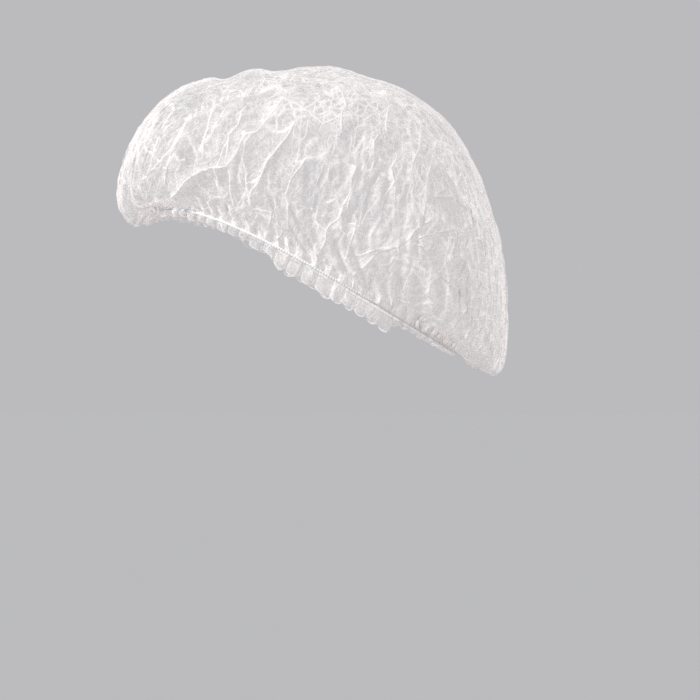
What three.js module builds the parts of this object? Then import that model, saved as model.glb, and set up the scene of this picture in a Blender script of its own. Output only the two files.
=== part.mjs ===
import * as THREE from 'three';

// Disposable hair cover: a thin nonwoven crown puffed out at the front and the back, a narrow
// elastic round the opening, and the gathered frill of the same cloth below the elastic.
// Millimetres. The front is at -X, the back at +X, up is +Z. The origin is the middle of the
// opening.

// Opening
const OPENING_LENGTH = 195.7;
const OPENING_WIDTH = 158;
const OPENING_TILT_DEGREES = 24;
const HEM_ARCH = 12.5;
const FRONT_FLATNESS = 5;

// Crown
const FRONT_REACH = 110.3;
const BACK_REACH = 119.8;
const SIDE_REACH = 97;
const CROWN_RISE = 129.8;
const CROWN_TOP_SHIFT = 14;
const FRONT_WIDENING = 0.06;
const SIDE_SOFTNESS = 0.12;
const BACK_FULLNESS = 0.85;

// Cloth
const WALL = 1;
const CLEARANCE = 0.3;
const LOBE_PITCH = 7.4;
const PLEAT_DEPTH = 2.1;
const PLEAT_FADE = 0.36;
const PLEAT_AT_ELASTIC = 0.35;
const FOLD_HEIGHT = 5.4;
const FOLD_WIDTH = 7.5;
const BILLOW_DEPTH = 2.6;
const BILLOW_LEAN = 2.4;

// Elastic and frill
const ELASTIC_WIDTH = 2;
const ELASTIC_THICKNESS = 1.2;
const FRILL_DROP = 10.5;
const LOBE_DEPTH = 1.5;
const LOBE_SCALLOP = 0.24;
const LOBE_AT_ELASTIC = 0.35;

const DEGREE = Math.PI / 180;
const slope = OPENING_TILT_DEGREES * DEGREE;
const openingRun = (OPENING_LENGTH / 2) * Math.cos(slope);
const openingLift = (OPENING_LENGTH / 2) * Math.sin(slope);
const hemUp = new THREE.Vector3(Math.sin(slope), 0, Math.cos(slope));

// Sections of the crown, evenly numbered from the hem to the top. hem is how far a section still
// follows the opening. front, back and side are shares of the reach from the crown's top, and
// frontUp, backUp and sideUp are shares of the height from the hem to the top.
const SECTIONS = [
  { hem: 1.0, front: 0, frontUp: 0, back: 0, backUp: 0, side: 0, sideUp: 0 },
  { hem: 0.97, front: 1, frontUp: 0.04, back: 0.9, backUp: 0.021, side: 0.95, sideUp: 0.03 },
  { hem: 0.8, front: 1, frontUp: 0.058, back: 0.93, backUp: 0.027, side: 0.876, sideUp: 0.062 },
  { hem: 0.68, front: 1, frontUp: 0.002, back: 0.908, backUp: -0.007, side: 0.905, sideUp: 0.098 },
  { hem: 0.61, front: 1, frontUp: -0.059, back: 0.91, backUp: -0.045, side: 0.946, sideUp: 0.139 },
  { hem: 0.35, front: 1, frontUp: -0.051, back: 0.939, backUp: -0.065, side: 0.938, sideUp: 0.188 },
  { hem: 0.07, front: 1, frontUp: 0.03, back: 0.956, backUp: -0.08, side: 0.936, sideUp: 0.247 },
  { hem: 0, front: 1, frontUp: 0.158, back: 0.988, backUp: -0.013, side: 0.961, sideUp: 0.32 },
  { hem: 0, front: 0.985, frontUp: 0.313, back: 1, backUp: 0.117, side: 0.988, sideUp: 0.409 },
  { hem: 0, front: 0.944, frontUp: 0.469, back: 0.987, backUp: 0.264, side: 1, sideUp: 0.507 },
  { hem: 0, front: 0.871, frontUp: 0.641, back: 0.95, backUp: 0.417, side: 0.981, sideUp: 0.614 },
  { hem: 0, front: 0.768, frontUp: 0.786, back: 0.884, backUp: 0.571, side: 0.918, sideUp: 0.723 },
  { hem: 0, front: 0.615, frontUp: 0.897, back: 0.766, backUp: 0.721, side: 0.789, sideUp: 0.825 },
  { hem: 0, front: 0.434, frontUp: 0.956, back: 0.577, backUp: 0.854, side: 0.588, sideUp: 0.908 },
  { hem: 0, front: 0.233, frontUp: 0.987, back: 0.312, backUp: 0.951, side: 0.32, sideUp: 0.962 },
  { hem: 0, front: 0, frontUp: 1, back: 0, backUp: 1, side: 0, sideUp: 1 },
];

// Main folds. Angles are degrees round the opening from the front, over the near side, and
// rises are section shares from the hem to the top. A negative height is a valley.
const FOLDS = [
  { angle: 34, rise: 0.14, midAngle: 50, midRise: 0.38, endAngle: 68, endRise: 0.6, height: 1, width: 0.9 },
  { angle: 74, rise: 0.36, midAngle: 77, midRise: 0.5, endAngle: 82, endRise: 0.72, height: 0.7, width: 0.7 },
  { angle: 70, rise: 0.58, midAngle: 73, midRise: 0.68, endAngle: 77, endRise: 0.78, height: 0.6, width: 0.7 },
  { angle: 43, rise: 0.4, midAngle: 48, midRise: 0.52, endAngle: 46, endRise: 0.68, height: 0.7, width: 0.7 },
  { angle: 58, rise: 0.5, midAngle: 57, midRise: 0.6, endAngle: 53, endRise: 0.7, height: 0.5, width: 0.7 },
  { angle: 92, rise: 0.3, midAngle: 95, midRise: 0.45, endAngle: 99, endRise: 0.62, height: 0.5, width: 0.7 },
  { angle: 107, rise: 0.16, midAngle: 112, midRise: 0.4, endAngle: 126, endRise: 0.56, height: 0.9, width: 1 },
  { angle: 103, rise: 0.3, midAngle: 108, midRise: 0.46, endAngle: 112, endRise: 0.6, height: -0.5, width: 1 },
  { angle: 126, rise: 0.62, midAngle: 121, midRise: 0.7, endAngle: 116, endRise: 0.79, height: 0.5, width: 0.8 },
  { angle: 136, rise: 0.68, midAngle: 142, midRise: 0.65, endAngle: 151, endRise: 0.62, height: 0.8, width: 0.7 },
  { angle: 142, rise: 0.42, midAngle: 141, midRise: 0.5, endAngle: 143, endRise: 0.6, height: 0.6, width: 0.7 },
  { angle: 160, rise: 0.34, midAngle: 163, midRise: 0.46, endAngle: 161, endRise: 0.6, height: -0.6, width: 1.1 },
  { angle: 14, rise: 0.5, midAngle: 20, midRise: 0.7, endAngle: 45, endRise: 0.86, height: -0.6, width: 1.3 },
  { angle: 30, rise: 0.66, midAngle: 46, midRise: 0.8, endAngle: 74, endRise: 0.9, height: -0.5, width: 1.2 },
  { angle: 100, rise: 0.78, midAngle: 92, midRise: 0.87, endAngle: 84, endRise: 0.94, height: 0.5, width: 1 },
  { angle: 140, rise: 0.78, midAngle: 132, midRise: 0.86, endAngle: 122, endRise: 0.93, height: 0.5, width: 1 },
];
const FAR_SIDE_TURN = 11;
const FAR_SIDE_RISE = 0.94;
const FOLD_STEPS = 10;
const HEM_STEPS = 360;
const ANGLE_STEP = 0.004;
const RISE_STEP = 0.004;

// Broad waves of the puffed cloth: how many go round, where they are deepest and how they turn.
const BILLOWS = [
  { waves: 7, peak: 0.5, spread: 0.22, depth: 0.5, turn: 0.6 },
  { waves: 11, peak: 0.4, spread: 0.16, depth: 0.42, turn: 2.1 },
  { waves: 5, peak: 0.8, spread: 0.12, depth: 0.6, turn: 1.1 },
  { waves: 17, peak: 0.34, spread: 0.14, depth: 0.28, turn: 0.2 },
];

// The frill round the opening: drop is a share of the full drop, tuck leans it under the cloth.
const FRILL = [
  { angle: 0, drop: 0.36, tuck: 0.3 },
  { angle: 55, drop: 0.42, tuck: 0.2 },
  { angle: 74, drop: 0.5, tuck: 0.1 },
  { angle: 84, drop: 1, tuck: 0 },
  { angle: 122, drop: 1, tuck: 0 },
  { angle: 131, drop: 0.4, tuck: 0.3 },
  { angle: 180, drop: 0.36, tuck: 0.35 },
];

// Rings of the crown from hem to top, in section shares. The fine ones carry two points a pleat,
// the coarse ones one.
const FINE_RINGS = [0, 0.05, 0.12, 0.2, 0.28, 0.36, 0.44];
const COARSE_RINGS = [0.51, 0.57, 0.63, 0.68, 0.73, 0.77, 0.81, 0.85, 0.89, 0.93, 0.968];
const FRILL_RINGS = [0, 0.5, 1];
const POINTS_PER_PLEAT = 2;
const POINTS_PER_LOBE = 4;

/** Lays one profile of the sections out as a smooth curve of share and height share. */
function profile(reachColumn, heightColumn) {
  return new THREE.SplineCurve(SECTIONS.map((row) => new THREE.Vector2(row[reachColumn], row[heightColumn])));
}

const frontProfile = profile('front', 'frontUp');
const backProfile = profile('back', 'backUp');
const sideProfile = profile('side', 'sideUp');
const hemProfile = profile('hem', 'hem');

/** Rounds |sin| over the front and the back, where the two sides of the hem meet. */
function sideShare(sine) {
  const soft = SIDE_SOFTNESS;
  return (Math.hypot(sine, soft) - soft) / (Math.hypot(1, soft) - soft);
}

/** Distance from the crown's middle to one profile, between the opening's size and its reach. */
function reachAt(curvePoint, hem, opening, reach, shift) {
  return hem * opening + (1 - hem) * (shift + curvePoint.x * (reach - shift));
}

/** Height of one profile above the opening's middle. */
function heightAt(curvePoint, hemHeight) {
  return hemHeight + curvePoint.y * (CROWN_RISE - hemHeight);
}

/** The smooth crown without folds: angle in radians round the opening, rise from 0 to 1. */
function crownForm(angle, rise) {
  const hem = hemProfile.getPoint(rise).x;
  const front = frontProfile.getPoint(rise);
  const back = backProfile.getPoint(rise);
  const side = sideProfile.getPoint(rise);
  const frontX = -reachAt(front, hem, openingRun, FRONT_REACH, -CROWN_TOP_SHIFT);
  const backX = reachAt(back, hem, openingRun, BACK_REACH, CROWN_TOP_SHIFT);
  const sideY = reachAt(side, hem, OPENING_WIDTH / 2, SIDE_REACH, 0);
  const frontZ = heightAt(front, openingLift);
  const backZ = heightAt(back, -openingLift);
  const sideZ = heightAt(side, HEM_ARCH);
  const cosine = Math.cos(angle);
  const sine = Math.sin(angle);
  const backBlend = BACK_FULLNESS * Math.max(0, -cosine) * Math.min(1, rise / FINE_RINGS[4]);
  const sideBend = THREE.MathUtils.lerp(sideShare(sine), sine ** 2, backBlend);
  const middleZ = (frontZ + backZ) / 2;
  const flat = 2 * FRONT_FLATNESS * (1 - rise) ** 2;
  return new THREE.Vector3(
    (frontX + backX) / 2 - ((backX - frontX) / 2) * cosine,
    -sideY * sine * (1 - FRONT_WIDENING * cosine),
    middleZ + ((frontZ - backZ) / 2) * cosine + (sideZ - middleZ) * sideBend + flat * sideBend * cosine,
  );
}

/** Direction along the hem at an angle. */
function hemTangent(angle) {
  return crownForm(angle + ANGLE_STEP, 0).sub(crownForm(angle - ANGLE_STEP, 0)).normalize();
}

/** Direction out of the opening at an angle, square to the hem and level with the opening. */
function hemOutward(angle) {
  return hemTangent(angle).cross(hemUp).normalize();
}

/** Outward direction of the smooth crown. */
function crownOutward(angle, rise) {
  if (rise <= FINE_RINGS[0]) return hemOutward(angle);
  const around = crownForm(angle + ANGLE_STEP, rise).sub(crownForm(angle - ANGLE_STEP, rise));
  const along = crownForm(angle, rise + RISE_STEP).sub(crownForm(angle, rise - RISE_STEP));
  return around.cross(along).normalize();
}

/** Follows one fold over the smooth crown on the near or the far side. */
function foldRoute(fold, farSide) {
  const place = (angle, rise) => {
    if (!farSide) return crownForm(angle * DEGREE, rise);
    return crownForm((360 - angle + FAR_SIDE_TURN) * DEGREE, rise * FAR_SIDE_RISE);
  };
  const route = new THREE.CatmullRomCurve3([
    place(fold.angle, fold.rise),
    place(fold.midAngle, fold.midRise),
    place(fold.endAngle, fold.endRise),
  ]);
  return { fold, points: route.getPoints(FOLD_STEPS) };
}

const foldRoutes = FOLDS.flatMap((fold) => [foldRoute(fold, false), foldRoute(fold, true)]);

/** How far all folds lift the cloth at a point. */
function foldLift(point) {
  let lift = 0;
  for (const { fold, points } of foldRoutes) {
    const width = fold.width * FOLD_WIDTH;
    const distance = Math.min(...points.map((station) => station.distanceTo(point)));
    lift += fold.height * FOLD_HEIGHT * Math.exp(-((distance / width) ** 2));
  }
  return lift;
}

/** How far the broad waves lift the cloth. */
function billowLift(angle, rise) {
  let lift = 0;
  for (const wave of BILLOWS) {
    const fade = Math.exp(-(((rise - wave.peak) / wave.spread) ** 2));
    const lean = wave.waves * angle + wave.turn * Math.PI + BILLOW_LEAN * (rise - wave.peak);
    lift += wave.depth * BILLOW_DEPTH * fade * Math.cos(lean);
  }
  return lift;
}

/** How far a pleat lifts the cloth: gathered at the elastic, deepest just above it. */
function pleatLift(angle, rise, pleats) {
  const gather = THREE.MathUtils.lerp(PLEAT_AT_ELASTIC, 1, Math.min(1, rise / FINE_RINGS[1]));
  const fade = Math.max(0, 1 - rise / PLEAT_FADE);
  return PLEAT_DEPTH * gather * fade * Math.cos(pleats * angle);
}

/** Length of the hem round the opening. */
function hemLength() {
  let total = 0;
  for (let step = 0; step < HEM_STEPS; step += 1) {
    const from = crownForm((step / HEM_STEPS) * 2 * Math.PI, 0);
    total += from.distanceTo(crownForm(((step + 1) / HEM_STEPS) * 2 * Math.PI, 0));
  }
  return total;
}

const lobes = Math.round(hemLength() / LOBE_PITCH);

/** Outer and inner point of the crown's cloth. */
function crownWall(angle, rise) {
  const base = crownForm(angle, rise);
  const outward = crownOutward(angle, rise);
  const hemShare = Math.max(0, 1 - rise / FINE_RINGS[2]);
  const lift = foldLift(base) + billowLift(angle, rise) * Math.min(1, rise / FINE_RINGS[3]);
  const outer = base
    .addScaledVector(hemUp, hemShare * (ELASTIC_WIDTH / 2 + CLEARANCE))
    .addScaledVector(outward, lift * (1 - hemShare) + pleatLift(angle, rise, lobes));
  return { outer, inner: outer.clone().addScaledVector(outward, -WALL) };
}

/** One ring of points round the opening. */
function ringOf(count, pointAt) {
  return Array.from({ length: count }, (_, index) => pointAt((index / count) * 2 * Math.PI, index));
}

/** Joins two rings with triangles. Either may have half as many points, or be a single one. */
function stitch(first, second, triangles) {
  const count = Math.max(first.length, second.length);
  const at = (ring, index) => ring[Math.floor((index * ring.length) / count) % ring.length];
  for (let index = 0; index < count; index += 1) {
    const a = at(first, index);
    const b = at(first, index + 1);
    const c = at(second, index + 1);
    const d = at(second, index);
    if (a !== b && b !== c) triangles.push(a, b, c);
    if (c !== d && d !== a) triangles.push(a, c, d);
  }
}

/** Makes a solid from rings in order, each joined to the next. */
function ringSolid(name, rings, closed, material) {
  const positions = [];
  const indexed = rings.map((ring) =>
    ring.map((point) => {
      positions.push(point.x, point.y, point.z);
      return positions.length / 3 - 1;
    }),
  );
  const triangles = [];
  const joins = closed ? indexed.length : indexed.length - 1;
  for (let join = 0; join < joins; join += 1) {
    stitch(indexed[join], indexed[(join + 1) % indexed.length], triangles);
  }
  const geometry = new THREE.BufferGeometry();
  geometry.setAttribute('position', new THREE.Float32BufferAttribute(positions, 3));
  geometry.setIndex(triangles);
  geometry.computeVertexNormals();
  const mesh = new THREE.Mesh(geometry, material);
  mesh.name = name;
  return mesh;
}

/** The puffed crown: inner wall from the top down, round the hem, and outer wall back up. */
function makeCrown(material) {
  const fineCount = lobes * POINTS_PER_PLEAT;
  const rises = [
    ...FINE_RINGS.map((rise) => ({ rise, count: fineCount })),
    ...COARSE_RINGS.map((rise) => ({ rise, count: lobes })),
  ];
  const outer = rises.map(({ rise, count }) => ringOf(count, (angle) => crownWall(angle, rise).outer));
  const inner = rises.map(({ rise, count }) => ringOf(count, (angle) => crownWall(angle, rise).inner));
  const top = crownForm(0, 1);
  const underTop = top.clone().add(new THREE.Vector3(0, 0, -WALL));
  return ringSolid('crown', [[underTop], ...inner.reverse(), ...outer, [top]], false, material);
}

/** A point beside the hem: up along the opening's axis and out from the hem. */
function besideHem(angle, up, out) {
  return crownForm(angle, 0).addScaledVector(hemUp, up).addScaledVector(hemOutward(angle), out);
}

/** The flat elastic that runs round the opening between the crown and the frill. */
function makeElastic(material) {
  const halfWidth = ELASTIC_WIDTH / 2;
  const outside = (ELASTIC_THICKNESS - WALL) / 2;
  const inside = outside - ELASTIC_THICKNESS;
  const corners = [
    [-halfWidth, outside],
    [halfWidth, outside],
    [halfWidth, inside],
    [-halfWidth, inside],
  ];
  const rings = corners.map(([up, out]) => ringOf(lobes, (angle) => besideHem(angle, up, out)));
  return ringSolid('elastic_band', rings, true, material);
}

/** Reads one column of the frill's table at an angle, the same on both sides of the cap. */
function frillAt(angle, column) {
  const degrees = angle / DEGREE;
  const turned = degrees > 180 ? 360 - degrees : degrees;
  const next = Math.max(1, FRILL.findIndex((row) => row.angle >= turned - 1e-6));
  const from = FRILL[next - 1];
  const to = FRILL[next];
  const share = THREE.MathUtils.smoothstep(turned, from.angle, to.angle);
  return from[column] + (to[column] - from[column]) * share;
}

/** Outer and inner point of the frill: rounded lobes with narrow slits between them. */
function frillWall(angle, share) {
  const wave = Math.cos(lobes * angle);
  const drop = FRILL_DROP * frillAt(angle, 'drop');
  const scallop = 1 - LOBE_SCALLOP * share * ((1 - wave) / 2) ** 2;
  const up = -(ELASTIC_WIDTH / 2 + CLEARANCE) - drop * share * scallop;
  const ripple = LOBE_DEPTH * THREE.MathUtils.lerp(LOBE_AT_ELASTIC, 1, share) * wave;
  const lean = -frillAt(angle, 'tuck') * drop * share;
  return {
    outer: besideHem(angle, up, ripple + lean),
    inner: besideHem(angle, up, ripple + lean - WALL),
  };
}

/** The frill that hangs below the elastic. */
function makeFrill(material) {
  const count = lobes * POINTS_PER_LOBE;
  const shares = [...FRILL_RINGS].reverse();
  const outer = shares.map((share) => ringOf(count, (angle) => frillWall(angle, share).outer));
  const inner = shares.map((share) => ringOf(count, (angle) => frillWall(angle, share).inner));
  return ringSolid('hem_frill', [...outer, ...inner.reverse()], true, material);
}

const cloth = new THREE.MeshStandardMaterial({ color: 0xeae6e6, roughness: 0.8, metalness: 0 });
const frillCloth = new THREE.MeshStandardMaterial({ color: 0xe2dedd, roughness: 0.8, metalness: 0 });
const elastic = new THREE.MeshStandardMaterial({ color: 0xf6f4f4, roughness: 0.6, metalness: 0 });

const hairCover = new THREE.Group();
hairCover.add(makeCrown(cloth), makeElastic(elastic), makeFrill(frillCloth));

export default hairCover;
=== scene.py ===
"""Disposable hair cover, worn form: a puffed see-through nonwoven crown, an elastic and a frill."""

import logging
import math
from dataclasses import dataclass, field
from enum import Enum
from typing import Any, Callable

import bmesh
import bpy
import numpy as np
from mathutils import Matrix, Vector, kdtree, noise


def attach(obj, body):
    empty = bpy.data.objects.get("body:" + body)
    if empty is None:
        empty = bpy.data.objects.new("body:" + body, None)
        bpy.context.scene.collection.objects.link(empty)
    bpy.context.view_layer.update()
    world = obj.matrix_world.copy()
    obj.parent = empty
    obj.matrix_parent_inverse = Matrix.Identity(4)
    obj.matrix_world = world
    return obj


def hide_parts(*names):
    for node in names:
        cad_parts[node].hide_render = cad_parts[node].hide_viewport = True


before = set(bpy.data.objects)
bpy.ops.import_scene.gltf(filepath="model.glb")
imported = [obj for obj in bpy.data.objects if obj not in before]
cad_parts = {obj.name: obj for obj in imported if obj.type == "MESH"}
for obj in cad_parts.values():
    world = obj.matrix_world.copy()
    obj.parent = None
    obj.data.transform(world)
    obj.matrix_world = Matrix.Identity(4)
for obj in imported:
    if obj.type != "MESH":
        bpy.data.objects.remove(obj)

MM = 0.001
TURN = 2 * math.pi
CRUMPLE_LEAN = math.radians(20)
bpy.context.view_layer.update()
LOG = logging.getLogger("hair_cover")

Array = np.ndarray
Place = Callable[[Array, Array], Array]


class Slot(Enum):
    """Names for three material slots, which nothing in this script uses."""

    NONWOVEN = "nonwoven"
    ELASTIC = "elastic"
    FRILL = "frill_nonwoven"


class Side(Enum):
    """The two sides of the cap that a main fold is laid on."""

    NEAR = "near"
    FAR = "far"


def linear(code: str) -> tuple[float, float, float, float]:
    """Turns an sRGB colour into the linear one that shaders take.

    Args:
        code: The colour as six hex digits.

    Returns:
        Linear red, green and blue, and an alpha of one.
    """
    parts = [int(code[i : i + 2], 16) / 255 for i in (0, 2, 4)]
    curve = [p / 12.92 if p <= 0.04045 else ((p + 0.055) / 1.055) ** 2.4 for p in parts]
    return (curve[0], curve[1], curve[2], 1.0)


def add_node(tree: bpy.types.NodeTree, kind: str, links: dict[Any, Any], **settings: Any) -> bpy.types.Node:
    """Adds a shader node with its settings and links.

    Args:
        tree: The tree that gets the node.
        kind: The node's type without the ShaderNode in front.
        links: Input name or number to a value, or to the socket that feeds it.
        **settings: Attributes of the node.

    Returns:
        The new node.
    """
    node = tree.nodes.new("ShaderNode" + kind)
    for name, value in settings.items():
        setattr(node, name, value)
    for key, value in links.items():
        if isinstance(value, bpy.types.NodeSocket):
            tree.links.new(value, node.inputs[key])
        else:
            node.inputs[key].default_value = value
    return node


def smooth(low: float, high: float, value: Array) -> Array:
    """Ramps from nought at low to one at high, level at both ends.

    Args:
        low: Where the ramp starts.
        high: Where it ends.
        value: The values to ramp.

    Returns:
        The ramped values.
    """
    share = np.clip((value - low) / (high - low), 0, 1)
    return share * share * (3 - 2 * share)


def roughness_of(points: Array, pitch: float, shift: float = 0.0) -> Array:
    """Gives smooth noise at points.

    Args:
        points: Rows of x, y and z in metres.
        pitch: The size of the noise's lumps in metres.
        shift: Moves the noise, so that two calls differ.

    Returns:
        A value from about -1 to 1 for each point.
    """
    scaled = points / pitch + shift
    return np.array([noise.noise(Vector(row)) for row in scaled.tolist()])


@dataclass(frozen=True)
class Station:
    """A section of the crown: hem is how far it still follows the opening, the rest are shares."""

    hem: float
    front: float
    front_up: float
    back: float
    back_up: float
    side: float
    side_up: float


STATIONS = (
    Station(1.0, 0, 0, 0, 0, 0, 0),
    Station(0.97, 1, 0.04, 0.9, 0.021, 0.95, 0.03),
    Station(0.8, 1, 0.058, 0.93, 0.027, 0.876, 0.062),
    Station(0.68, 1, 0.002, 0.908, -0.007, 0.905, 0.098),
    Station(0.61, 1, -0.059, 0.91, -0.045, 0.946, 0.139),
    Station(0.35, 1, -0.051, 0.939, -0.065, 0.938, 0.188),
    Station(0.07, 1, 0.03, 0.956, -0.08, 0.936, 0.247),
    Station(0, 1, 0.158, 0.988, -0.013, 0.961, 0.32),
    Station(0, 0.985, 0.313, 1, 0.117, 0.988, 0.409),
    Station(0, 0.944, 0.469, 0.987, 0.264, 1, 0.507),
    Station(0, 0.871, 0.641, 0.95, 0.417, 0.981, 0.614),
    Station(0, 0.768, 0.786, 0.884, 0.571, 0.918, 0.723),
    Station(0, 0.615, 0.897, 0.766, 0.721, 0.789, 0.825),
    Station(0, 0.434, 0.956, 0.577, 0.854, 0.588, 0.908),
    Station(0, 0.233, 0.987, 0.312, 0.951, 0.32, 0.962),
    Station(0, 0, 1, 0, 1, 0, 1),
)


@dataclass(frozen=True)
class Fold:
    """A main fold: its route seen from the side, as x and z in millimetres, and three shares."""

    route: tuple[tuple[float, float], ...]
    height: float
    band: float
    width: float = 1.0


FOLDS = (
    Fold(((-78, 48), (-73, 53), (-66, 59), (-57, 65), (-51, 66), (-43, 67), (-38, 73), (-35, 81)), 1, 1),
    Fold(((-37, 76), (-35, 81), (-32, 85), (-26, 86), (-20, 93), (-12, 103), (-10, 107)), 0.7, 0.6),
    Fold(((-30, 42), (-29, 53), (-24, 59), (-20, 69), (-13, 78), (-8, 84), (-5, 90), (-5, 94)), 0.8, 0.5),
    Fold(((-9, 30), (-9, 44), (-10, 50), (-7, 58), (1, 69), (4, 73)), 0.5, 0.3),
    Fold(((9, 16), (14, 30), (22, 41), (27, 52), (28, 61), (31, 68)), 0.5, 0.3),
    Fold(((26, 4), (29, 6), (35, 12), (45, 18), (56, 21), (63, 30), (71, 36), (74, 40)), 0.6, 0.9),
    Fold(((18, 11), (22, 15), (32, 17), (45, 19), (56, 21), (59, 23)), 0.3, 0.6),
    Fold(((50, 20), (56, 21), (66, 26), (75, 29), (83, 31), (87, 29)), 0.4, 0.4),
    Fold(((70, 51), (74, 50), (85, 50), (91, 44), (100, 35), (103, 31)), 0.7, 0.7),
    Fold(((-80, 55), (-79, 61), (-75, 76), (-69, 85), (-65, 99), (-63, 106)), 0.6, 0.5),
    Fold(((-95, 56), (-91, 61), (-84, 69), (-76, 77), (-71, 84), (-68, 90)), 0.5, 0.5),
    Fold(((-58, 70), (-57, 74), (-56, 84), (-53, 93), (-50, 103), (-48, 109)), 0.5, 0.2),
    Fold(((-44, 70), (-43, 75), (-42, 85), (-37, 90), (-35, 97), (-31, 103)), 0.5, 0.2),
    Fold(((-15, 104), (-12, 105), (-1, 101), (6, 96), (12, 90), (19, 93), (22, 96)), 0.5, 0.6),
    Fold(((22, 84), (22, 96), (25, 101), (23, 108), (19, 114)), 0.5, 0.4),
    Fold(((64, 55), (63, 62), (62, 69), (66, 78), (67, 91), (66, 97)), 0.5, 0.3),
    Fold(((67, 32), (68, 38), (70, 49), (70, 60), (73, 71), (75, 80), (75, 86)), 0.5, 0.3),
    Fold(((75, 50), (77, 55), (80, 65), (83, 69), (84, 74)), 0.4, 0.3),
    Fold(((-43, 67), (-42, 63), (-41, 50), (-38, 41), (-36, 36)), 0.4, 0.2),
    Fold(((-50, 65), (-49, 59), (-47, 49), (-46, 44)), 0.4, 0.2),
    Fold(((93, -18), (93, -13), (92, -3), (94, 8), (91, 18), (93, 26), (92, 32)), 0.7, 0.6),
    Fold(((62, 26), (67, 22), (75, 8), (81, 1), (89, 12), (92, 17)), 0.4, 0.3),
    Fold(((23, 11), (25, 17), (31, 36), (26, 44), (28, 54), (28, 58)), 0.4, 0.2),
    Fold(((48, 84), (47, 91), (49, 101), (47, 110), (44, 115)), 0.4, 0.3),
    Fold(((-31, 42), (-28, 43), (-18, 41), (-19, 35), (-20, 31)), 0.4, 0.2),
    Fold(((44, 40), (46, 48), (52, 58), (50, 66), (54, 74)), 0.4, 0.2),
    Fold(((38, 62), (41, 70), (40, 80), (45, 88)), 0.4, 0.2),
    Fold(((-46, 122), (-48, 114), (-56, 107), (-68, 100)), -1.5, 0, 1.2),
    Fold(((-14, 131), (-17, 122), (-24, 116), (-34, 111)), -0.9, 0, 1.2),
    Fold(((-57, 121), (-62, 112), (-70, 108)), -0.5, 0, 0.9),
    Fold(((36, 128), (44, 118), (50, 110)), -0.4, 0, 1.2),
    Fold(((96, 70), (102, 60), (108, 46)), -0.5, 0, 1.5),
)


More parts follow.
